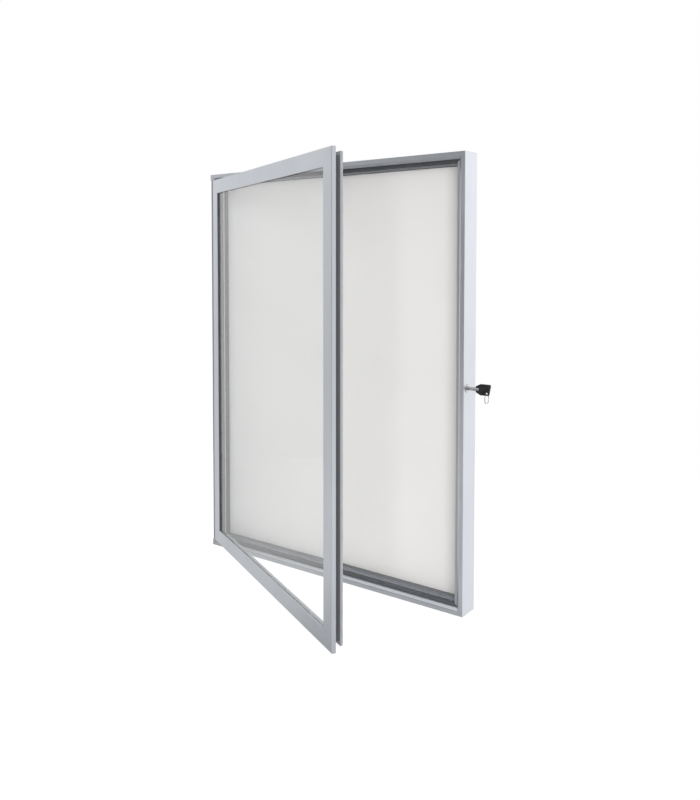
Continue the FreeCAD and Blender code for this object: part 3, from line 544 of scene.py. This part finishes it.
screw_low, screw_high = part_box("hinge_channel_screws")
screw_count, head_radius, head_height, screw_core, screw_crest = 7, 0.0021, 0.0010, 0.00095, 0.0012
screw_length = screw_high.y - screw_low.y
under_head = screw_length - head_height
hinge_screw = turned(
    [(0.0, 0.0003), (0.0009, screw_core)] + threaded(0.0009, under_head - 0.001, screw_core, screw_crest)
    + [(under_head, screw_core), (under_head, head_radius - 0.0001), (under_head + 0.0001, head_radius),
       (screw_length - 0.0005, head_radius), (screw_length - 0.0001, 0.0017), (screw_length, 0.0012)], 24)
recess_width, recess_reach, recess_depth = 0.0005, 0.0009, 0.0007
cross = cube(recess_width, (0.0, 0.0, screw_length))
choose(lambda centre, normal: abs(normal.z) < 0.5)
bpy.ops.mesh.extrude_faces_move(TRANSFORM_OT_shrink_fatten={"value": recess_reach})
bpy.ops.mesh.select_all(action="SELECT")
bpy.ops.transform.resize(value=(1.0, 1.0, 2.0 * recess_depth / recess_width),
                         center_override=(0.0, 0.0, screw_length))
bpy.ops.object.mode_set(mode="OBJECT")
cut(hinge_screw, cross, "Cross recess")
screw_line = ((screw_low.x + screw_high.x) / 2, screw_high.y)
screw_pitch = (screw_high.z - screw_low.z - 2 * head_radius) / (screw_count - 1)
screw_places = [Matrix.Translation((*screw_line, screw_low.z + head_radius + index * screw_pitch))
                @ Matrix.Rotation(math.radians(90.0), 4, "X") for index in range(screw_count)]
hinge_screws = smooth(place_copies(hinge_screw, "cross_head_screws", screw_places))
fit(hinge_screws, zinc, "case", "hinge_channel_screws")


def plastic(name, dark, light, roughness, grain, strength, dust_and_top_light_amount=0.0):
    """Moulded plastic or rubber with a fine surface grain, and a paler film on its upward faces, which on the
    rubber is painted light from above.
    """
    material, tree, shader, _, place = new_material(name)
    texture = noise(tree, place, grain, 3.0, 0.6)
    cloud = use_group(tree, clouding, {"Vector": place, "Scale": grain / 20.0})["Mask"]
    dust_and_top_light = use_group(tree, dust_and_top_light_group, {"Vector": place, "Amount": dust_and_top_light_amount})["Mask"]
    body = ramp(tree, mix_values(tree, texture, cloud, 0.4), 0.2, 0.8, dark, light)
    tree.links.new(blend(tree, dust_and_top_light, body, (0.55, 0.54, 0.52)), shader.inputs["Base Color"])
    level = math_node(tree, "ADD", spread(tree, texture, 0.3, 0.7, roughness - 0.06, roughness + 0.06),
                      spread(tree, cloud, 0.0, 1.0, -0.04, 0.04))
    tree.links.new(level, shader.inputs["Roughness"])
    relief(tree, shader, texture, strength, 0.0001)
    return material


nylon = plastic("White nylon", (0.70, 0.70, 0.67), (0.80, 0.80, 0.78), 0.45, 1800.0, 0.1)
softened("hinge_washers", 0.0001, 2, nylon, "case")


# Door sides:
# Four mitred lengths of the door's own extrusion, anodised like the case, with shade painted into their
# channels. The door stands open, so its grain, its corner seams and its painted shade are turned with it.

def joint(name):
    return next(item for item in frame["joints"] if item["name"] == name)


door_hinge = joint("door_hinge")
door_open = math.radians(-door_hinge["range_deg"][0])
stile_low, stile_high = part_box("door_lock_stile")
door_width, door_height = 0.703, stile_high.z - stile_low.z
door_half = (door_width / 2, door_height / 2)
pivot, edge_from_pivot = Vector(door_hinge["pos_m"][:2]), Vector((0.0108, -0.0047))
swing = Matrix.Rotation(-door_open, 2)
door_centre = pivot + swing @ (edge_from_pivot + Vector((door_half[0], 0.0)))
door_frame = {"turn": door_open, "middle": door_centre, "half": door_half}
# Where shade is painted: the open groove round the door's edge, the flange behind it, the front's edge beside
# the pane, and the beads behind the pane
edge_groove = channel((-0.001, 0.0155), (0.0094, 0.0224), 0.92)
rear_flange = channel((0.006, 0.0165), (0.0224, 0.0258), 0.4)
pane_edge = channel((0.0355, 0.0365), (0.0004, 0.004), 0.92)
bead_faces = channel((0.026, 0.048), (0.0075, 0.030), 0.92)
door_upright, door_level, door_sill = (
    anodised(f"Door {part}, anodised", along, channels, seam_shade=0.22, **door_frame)
    for part, along, channels in (("stile", "Z", (edge_groove, rear_flange, pane_edge)),
                                  ("rail", "X", (edge_groove, rear_flange, pane_edge)),
                                  ("bottom rail", "X", (edge_groove, rear_flange))))
# The upright beads get shade painted over their faces; the level beads are left as lit
bead_upright = anodised("Bead, anodised, painted shade", "Z", (bead_faces,), **door_frame)
# The front's outer edges are rounded, which shows as a thin dark line
front_round = 0.0012
forward, outward_x = (Vector((*(swing @ Vector(way)), 0.0)) for way in ((0.0, -1.0), (1.0, 0.0)))
front_middle = Vector((*door_centre, 0.0))
for side, metal, outward, reach in (("hinge_stile", door_upright, None, 0.0),
                                    ("lock_stile", door_upright, outward_x, door_half[0]),
                                    ("top_rail", door_level, Vector((0.0, 0.0, 1.0)), door_half[1]),
                                    ("bottom_rail", door_sill, Vector((0.0, 0.0, -1.0)), door_half[1])):
    curve = (front_middle + outward * reach, forward, outward, front_round) if outward else None
    softened("door_" + side, extrusion_round, 2, metal, "door", curve)
for side, metal in (("hinge_stile", bead_upright), ("lock_stile", bead_upright), ("top_rail", door_level),
                    ("bottom_rail", door_level)):
    softened("glazing_bead_" + side, extrusion_round, 2, metal, "door")


# Glazing, gaskets and seal:
# A clear 4 mm acrylic pane between two black rubber gaskets, held from behind
# by snapped-in beads. A rubber seal on the door's rear flange meets the ridge.

def clear_sheet(name):
    material, tree, shader, end, place = new_material(name)
    cloud = use_group(tree, clouding, {"Vector": place, "Scale": 12.0})["Mask"]
    shader.inputs["Transmission Weight"].default_value = 1.0
    shader.inputs["IOR"].default_value = 1.49
    tree.links.new(ramp(tree, cloud, 0.0, 1.0, (0.994, 0.998, 0.998), (0.998, 1.0, 1.0)),
                   shader.inputs["Base Color"])
    tree.links.new(spread(tree, cloud, 0.0, 1.0, 0.0, 0.015), shader.inputs["Roughness"])
    light = add_node(tree, "ShaderNodeLightPath")
    see_through = add_node(tree, "ShaderNodeBsdfTransparent", {"Color": (0.93, 0.95, 0.95, 1.0)})
    mixed = add_node(tree, "ShaderNodeMixShader", {
        "Fac": light.outputs["Is Shadow Ray"], 1: shader.outputs[0], 2: see_through.outputs[0]})
    tree.links.new(mixed.outputs[0], end.inputs["Surface"])
    return material


softened("glazing_pane", 0.0003, 2, clear_sheet("Clear acrylic"), "door")
# Painted light: the rubbers' upward faces are painted paler, as light from above falls on them
rubber = plastic("Black rubber", (0.030, 0.030, 0.032), (0.055, 0.055, 0.058), 0.62, 1400.0, 0.25, 0.8)
for face in ("front", "rear"):
    softened("glazing_gasket_" + face, 0.00025, 3, rubber, "door")
grey_rubber = plastic("Grey rubber", (0.30, 0.30, 0.31), (0.40, 0.40, 0.41), 0.60, 1400.0, 0.25, 0.4)
softened("door_seal", 0.0008, 5, grey_rubber, "door")


# Lock:
# A tubular lock in satin nickel: a round head on the case's side, a ring nut
# inside, and a plug whose quarter turn drives the bolt inwards.

nickel = plated("Satin nickel", (0.56, 0.565, 0.57), (0.70, 0.705, 0.71), 0.24)
lock_place = Vector(joint("lock_turn")["pos_m"])

barrel = softened("lock_barrel", 0.00012, 2, nickel, "case")
head_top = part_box("lock_barrel")[1].z
notch_radius, notch_start, notch_end = 0.0008, 0.0003, 0.002
notch = turned([(notch_start, notch_radius), (notch_end, notch_radius)], 24)
notch.data.transform(Matrix.Translation((lock_place.x, lock_place.y, head_top))
                     @ Matrix.Rotation(math.radians(90.0), 4, "Y"))
smooth(cut(barrel, notch, "Index notch"))

nut = softened("lock_nut", 0.00012, 2, nickel, "case")
nut_low, nut_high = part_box("lock_nut")
nut_centre, nut_radius = (nut_low + nut_high) / 2, (nut_high.z - nut_low.z) / 2
slot_count, slot_first_angle, slot_stretch, slot_width, slot_depth = 4, 45.0, 4.0, 0.0018, 0.0009
for index in range(slot_count):
    spanner = cube(2 * slot_depth, (0.0, 0.0, nut_radius))
    spanner.data.transform(
        Matrix.Translation(nut_centre)
        @ Matrix.Rotation(math.radians(slot_first_angle + 360.0 * index / slot_count), 4, "X")
        @ Matrix.Diagonal((slot_stretch, slot_width / (2 * slot_depth), 1.0, 1.0)))
    cut(nut, spanner, "Spanner slot")
smooth(nut)
softened("lock_plug", 0.00012, 2, nickel, "lock_plug")
softened("lock_bolt", 0.00025, 3, nickel, "lock_bolt")


# Key:
# A nickel-plated steel tube in a moulded black plastic bow, and a split ring
# through the hole at the bow's outer lower corner.

softened("key_stem", 0.00015, 2, nickel, "key")

# The bow is shaped at the origin, with +X pointing out of the lock
bow_low, bow_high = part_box("key_bow")
neck_x, half_height = bow_low.x - lock_place.x, (bow_high.z - bow_low.z) / 2
tip_x, neck_half, shoulder_x, lean, half_thickness = 0.054, 0.0065, 0.0305, 0.0045, 0.0022
bow = cube(2 * half_thickness, ((neck_x + tip_x) / 2, 0.0, 0.0))
for normal, reach in (((1.0, 0.0, 0.0), (tip_x - neck_x) / 2), ((-1.0, 0.0, 0.0), (tip_x - neck_x) / 2),
                      ((0.0, 0.0, 1.0), half_height), ((0.0, 0.0, -1.0), half_height)):
    choose(lambda centre, facing: facing.dot(Vector(normal)) > 0.9)
    bpy.ops.transform.translate(value=Vector(normal) * (reach - half_thickness))
neck_slope = Vector((neck_half - half_height, 0.0, shoulder_x - neck_x)).normalized()
end_slope = Vector((2 * half_height, 0.0, -lean)).normalized()
for corner, normal in (((shoulder_x, 0.0, half_height), neck_slope),
                       ((shoulder_x, 0.0, -half_height), Vector((neck_slope.x, 0.0, -neck_slope.z))),
                       ((tip_x, 0.0, half_height), end_slope)):
    bpy.ops.mesh.select_all(action="SELECT")
    bpy.ops.mesh.bisect(plane_co=corner, plane_no=normal, use_fill=True, clear_outer=True)
# The outline's corners, and the angle by which it turns at each
corner_radius, near, neck_bend, upper_bend, lower_bend = 0.003, 0.0002, 27.6, 100.6, 79.4
for x, z, bend in ((shoulder_x, half_height, neck_bend), (shoulder_x, -half_height, neck_bend),
                   (tip_x, half_height, upper_bend), (tip_x - lean, -half_height, lower_bend)):
    choose(lambda middle, along: abs(along.y) > 0.9 and (middle.xz - Vector((x, z))).length < near, "edges")
    bpy.ops.mesh.bevel(offset=corner_radius * math.tan(math.radians(bend / 2)), segments=8)
outline_round, rim_width, thumb_slope, thumb_depth = 0.001, 0.0012, 0.0004, 0.0003
choose(lambda middle, along: abs(middle.y) > half_thickness * 0.99, "edges")
bpy.ops.mesh.bevel(offset=outline_round, segments=4)
choose(lambda centre, facing: abs(facing.y) > 0.999)
bpy.ops.mesh.inset(thickness=rim_width, depth=0.0)
bpy.ops.mesh.inset(thickness=thumb_slope, depth=-thumb_depth)
bpy.ops.object.mode_set(mode="OBJECT")
boss = turned([(0.028, 0.0046), (0.0284, 0.0052), (0.029, 0.0054), (0.0370, 0.0054), (0.0382, 0.0052),
               (0.0392, 0.0044), (0.0398, 0.0032), (0.0400, 0.0016)], 40)
boss.data.transform(Matrix.Rotation(math.radians(90.0), 4, "Y"))
cut(bow, boss, "Boss", "UNION")
socket_radius, socket_end = 0.00402, 0.03412
socket = turned([(neck_x - 0.001, 0.0049), (neck_x + 0.0004, socket_radius), (socket_end, socket_radius)], 48)
socket.data.transform(Matrix.Rotation(math.radians(90.0), 4, "Y"))
cut(bow, socket, "Stem socket")
eye_place, eye_radius = Vector(joint("ring_swing")["pos_m"]) - lock_place, 0.0024
eye = turned([(-0.0032, eye_radius + 0.0010), (-0.0018, eye_radius + 0.0001), (-0.0014, eye_radius),
              (0.0014, eye_radius), (0.0018, eye_radius + 0.0001), (0.0032, eye_radius + 0.0010)], 40)
eye.data.transform(Matrix.Translation((eye_place.x, 0.0, eye_place.z))
                   @ Matrix.Rotation(math.radians(90.0), 4, "X"))
cut(bow, eye, "Ring hole")
bow.data.transform(Matrix.Translation(lock_place))
bow.name = "moulded_bow"
black = plastic("Black moulded plastic", (0.006, 0.006, 0.007), (0.017, 0.017, 0.019), 0.46, 1600.0, 0.3)
fit(smooth(bow, 30.0), black, "key", "key_bow")

# Split ring: a flat wire's section is spun almost once round, steps over to the
# second turn, and is spun round again
ring_low, ring_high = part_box("key_ring")
wire_width, wire_height, wire_round, ring_radius, turn_spacing = 0.00074, 0.0014, 0.00018, 0.0100, 0.0008
wire_start = Vector((-turn_spacing / 2, 0.0, -ring_radius))
bpy.ops.object.select_all(action="DESELECT")
bpy.ops.mesh.primitive_plane_add(size=wire_height, location=wire_start,
                                 rotation=(math.radians(90.0), 0.0, 0.0))
ring = bpy.context.object
ring.name = "split_ring"
bpy.ops.object.transform_apply(location=True, rotation=True, scale=True)
bpy.ops.object.mode_set(mode="EDIT")
bpy.ops.mesh.select_all(action="SELECT")
bpy.ops.transform.resize(value=(wire_width / wire_height, 1.0, 1.0), center_override=wire_start)
bpy.ops.mesh.bevel(offset=wire_round, segments=3, affect="VERTICES")
first_turn, first_steps, last_turn, last_steps = 330.0, 66, 325.0, 65
bpy.ops.mesh.spin(steps=first_steps, angle=math.radians(first_turn), center=(0.0, 0.0, 0.0),
                  axis=(1.0, 0.0, 0.0))
step_angle, step_count = math.radians(5.0), 6
for step in range(step_count):
    bpy.ops.mesh.extrude_region_move(TRANSFORM_OT_translate={"value": (turn_spacing / step_count, 0.0, 0.0)})
    bpy.ops.transform.rotate(value=-step_angle, orient_axis="X", center_override=(0.0, 0.0, 0.0))
bpy.ops.mesh.spin(steps=last_steps, angle=math.radians(last_turn), center=(0.0, 0.0, 0.0),
                  axis=(1.0, 0.0, 0.0))
bpy.ops.mesh.select_all(action="SELECT")
bpy.ops.mesh.normals_make_consistent(inside=False)
bpy.ops.object.mode_set(mode="OBJECT")
ring.data.transform(Matrix.Translation((ring_low + ring_high) / 2))
fit(smooth(ring, 30.0), nickel, "key_ring", "key_ring")


# Floor, backdrop and light:
# A plain white floor some way below the board and a plain white surround. One
# soft lamp stands in front. The room that the metal mirrors is grey, paler at
# the sides and above, and dark straight in front.

def toward(azimuth, elevation=0.0):
    """The direction at an angle round the board, counted from its front to its right."""
    turn, lift = math.radians(azimuth), math.radians(elevation)
    return Vector((math.sin(turn) * math.cos(lift), -math.cos(turn) * math.cos(lift), math.sin(lift)))


def blend_values(tree, factor, start, end):
    return add_node(tree, "ShaderNodeMix", {"Factor": factor, "A": start, "B": end},
                    data_type="FLOAT").outputs["Result"]


def vector_value(tree, operation, *vectors):
    return add_node(tree, "ShaderNodeVectorMath", dict(enumerate(vectors)),
                    operation=operation).outputs["Value"]


def clear_view(tree, path, spare_steps):
    """1 where the eye looks straight, or only through the pane.

    The surround lies one step further than a surface.
    """
    only_glass = math_node(tree, "COMPARE", path.outputs["Ray Depth"], path.outputs["Transmission Depth"],
                           spare_steps + 0.5)
    through_pane = math_node(tree, "MULTIPLY", path.outputs["Is Transmission Ray"], only_glass)
    return math_node(tree, "MAXIMUM", path.outputs["Is Camera Ray"], through_pane)


def seen_white(tree, path, level):
    """White to the eye, with what the pane's two faces take away added behind it."""
    pane_gain = 1.13
    return spread(tree, path.outputs["Is Transmission Ray"], 0.0, 1.0, level, level * pane_gain)


# The room's walls as the board mirrors them: a direction, the angles where the wall fades in and is full, and
# how much paler it is and how much paler the floor before it is painted in reflections
room_level = 0.42
room_walls = ((toward(-122.0), 40.0, 14.0, 0.58, 0.35), (toward(140.0), 55.0, 25.0, 0.72, 0.62),
              (toward(83.0), 35.0, 12.0, 0.11, 0.11), (toward(0.0, 80.0), 48.0, 25.0, 0.45, 0.0),
              (toward(-54.0), 16.0, 10.0, 0.50, 0.0))


def wall_part(tree, direction, wall, outer, inner, full):
    """How much of a wall a direction meets, from none at its outer angle to all at its inner one."""
    return spread(tree, vector_value(tree, "DOT_PRODUCT", direction, wall), math.cos(math.radians(outer)),
                  math.cos(math.radians(inner)), 0.0, full)


def floor_white(name):
    """White to the eye and through the pane, with part of the shadow kept. For metal it glows with a painted
    reflection of walls, shadow and a pool of light.
    """
    white_level, shadow_kept, pool_centre = 1.11, 0.15, (-0.5, -3.5, 0.0)
    material, tree, shader, end, place = new_material(name)
    cloud = use_group(tree, clouding, {"Vector": place, "Scale": 0.6})["Mask"]
    tree.links.new(ramp(tree, cloud, 0.0, 1.0, (0.93, 0.93, 0.93), (0.95, 0.95, 0.95)),
                   shader.inputs["Base Color"])
    shader.inputs["Roughness"].default_value = 0.9
    path = add_node(tree, "ShaderNodeLightPath")
    seen = clear_view(tree, path, 0)
    # For metal the floor glows with a painted reflection: a painted shadow below the board, paler further out
    # and before each wall, and a painted pool of light in front
    away = vector_value(tree, "LENGTH", place)
    from_pool = vector_value(tree, "DISTANCE", place, pool_centre)
    painted_reflection = math_node(tree, "MAXIMUM", spread(tree, away, 0.6, 3.0, 0.05, 0.45),
                         spread(tree, from_pool, 0.7, 2.6, 1.1, 0.16))
    for wall, _, _, _, change in room_walls:
        before_wall = spread(tree, vector_value(tree, "DOT_PRODUCT", place, wall), 0.3, 1.6, 0.0,
                             room_level + change)
        painted_reflection = math_node(tree, "MAXIMUM", painted_reflection, before_wall)
    bright = blend_values(tree, seen, painted_reflection, seen_white(tree, path, white_level))
    glow = add_node(tree, "ShaderNodeEmission", {"Strength": bright})
    shiny = math_node(tree, "MAXIMUM", path.outputs["Is Glossy Ray"], path.outputs["Is Transmission Ray"])
    unshaded = spread(tree, away, 1.5, 3.8, 1.0 - shadow_kept, 1.0)
    mixed = add_node(tree, "ShaderNodeMixShader", {
        "Fac": blend_values(tree, seen, shiny, unshaded), 1: shader.outputs[0], 2: glow.outputs[0]})
    tree.links.new(mixed.outputs[0], end.inputs["Surface"])
    return material


floor_level, floor_reach = -1.25, 4.5
bpy.ops.object.select_all(action="DESELECT")
bpy.ops.mesh.primitive_circle_add(vertices=64, radius=floor_reach, fill_type="NGON",
                                  location=(0.0, 0.0, floor_level))
floor = bpy.context.object
floor.name = "floor"
floor.data.materials.append(floor_white("Floor white"))

world = bpy.data.worlds.new("Studio")
bpy.context.scene.world = world
world.use_nodes = True
tree = world.node_tree
tree.nodes.clear()
path = add_node(tree, "ShaderNodeLightPath")
direction = add_node(tree, "ShaderNodeTexCoord").outputs["Generated"]
height = separate(tree, direction)["Z"]
# Above eye level the walls are a little paler
level = math_node(tree, "ADD", room_level, spread(tree, height, -0.02, 0.12, 0.0, 0.16))
for wall, outer, inner, change, _ in room_walls:
    level = math_node(tree, "ADD", level, wall_part(tree, direction, wall, outer, inner, change))
# The wall in front is dark, and pale where it meets the floor
front_wall = wall_part(tree, direction, toward(-10.0), 27.0, 18.0, 1.0)
level = math_node(tree, "MULTIPLY_ADD", front_wall, spread(tree, height, -0.34, -0.06, 0.60, -0.52), level)
# The surround lights dull surfaces less than it shows in shiny ones
diffuse_part = 0.6
level = math_node(tree, "MULTIPLY", level,
                  spread(tree, path.outputs["Is Diffuse Ray"], 0.0, 1.0, 1.0, diffuse_part))
strength = blend_values(tree, clear_view(tree, path, 1), level, seen_white(tree, path, 1.0))
surround = add_node(tree, "ShaderNodeBackground", {"Color": (1.0, 1.0, 1.0, 1.0), "Strength": strength})
add_node(tree, "ShaderNodeOutputWorld", {"Surface": surround.outputs[0]})

to_lamp, lamp_distance, lamp_aim = toward(36.0, 5.0), 3.5, Vector((0.0, -0.1, 0.0))
lamp_size, lamp_power = 2.8, 104.0
light = bpy.data.lights.new("front lamp", "AREA")
light.shape, light.size, light.size_y, light.energy = "RECTANGLE", lamp_size, lamp_size, lamp_power
lamp = bpy.data.objects.new("front lamp", light)
lamp.location = lamp_aim + to_lamp * lamp_distance
lamp.rotation_euler = (-to_lamp).to_track_quat("-Z", "Y").to_euler()
bpy.context.scene.collection.objects.link(lamp)
lamp.visible_camera = False
lamp.visible_glossy = False

bpy.context.scene.view_settings.view_transform = "Standard"


# Camera:
# The photograph's own viewpoint, to the right of the board and a little above
# its middle, found from the board's edges. The frame is 700 by 800.

frame_width, frame_height = 700, 800
focal_pixels = 821.13
middle_x, middle_y = 264.84, 298.72
camera_data = bpy.data.cameras.new("Camera")
camera_data.lens = focal_pixels * camera_data.sensor_width / frame_height
camera_data.shift_x = (frame_width / 2 - middle_x) / frame_height
camera_data.shift_y = (middle_y - frame_height / 2) / frame_height
camera = bpy.data.objects.new("Camera", camera_data)
camera.location = (1.14882, -1.66592, 0.26736)
azimuth, pitch, roll = 39.557, 2.558, 0.227
camera.rotation_euler = [math.radians(angle) for angle in (90.0 - pitch, roll, azimuth)]
bpy.context.scene.collection.objects.link(camera)
bpy.context.scene.camera = camera
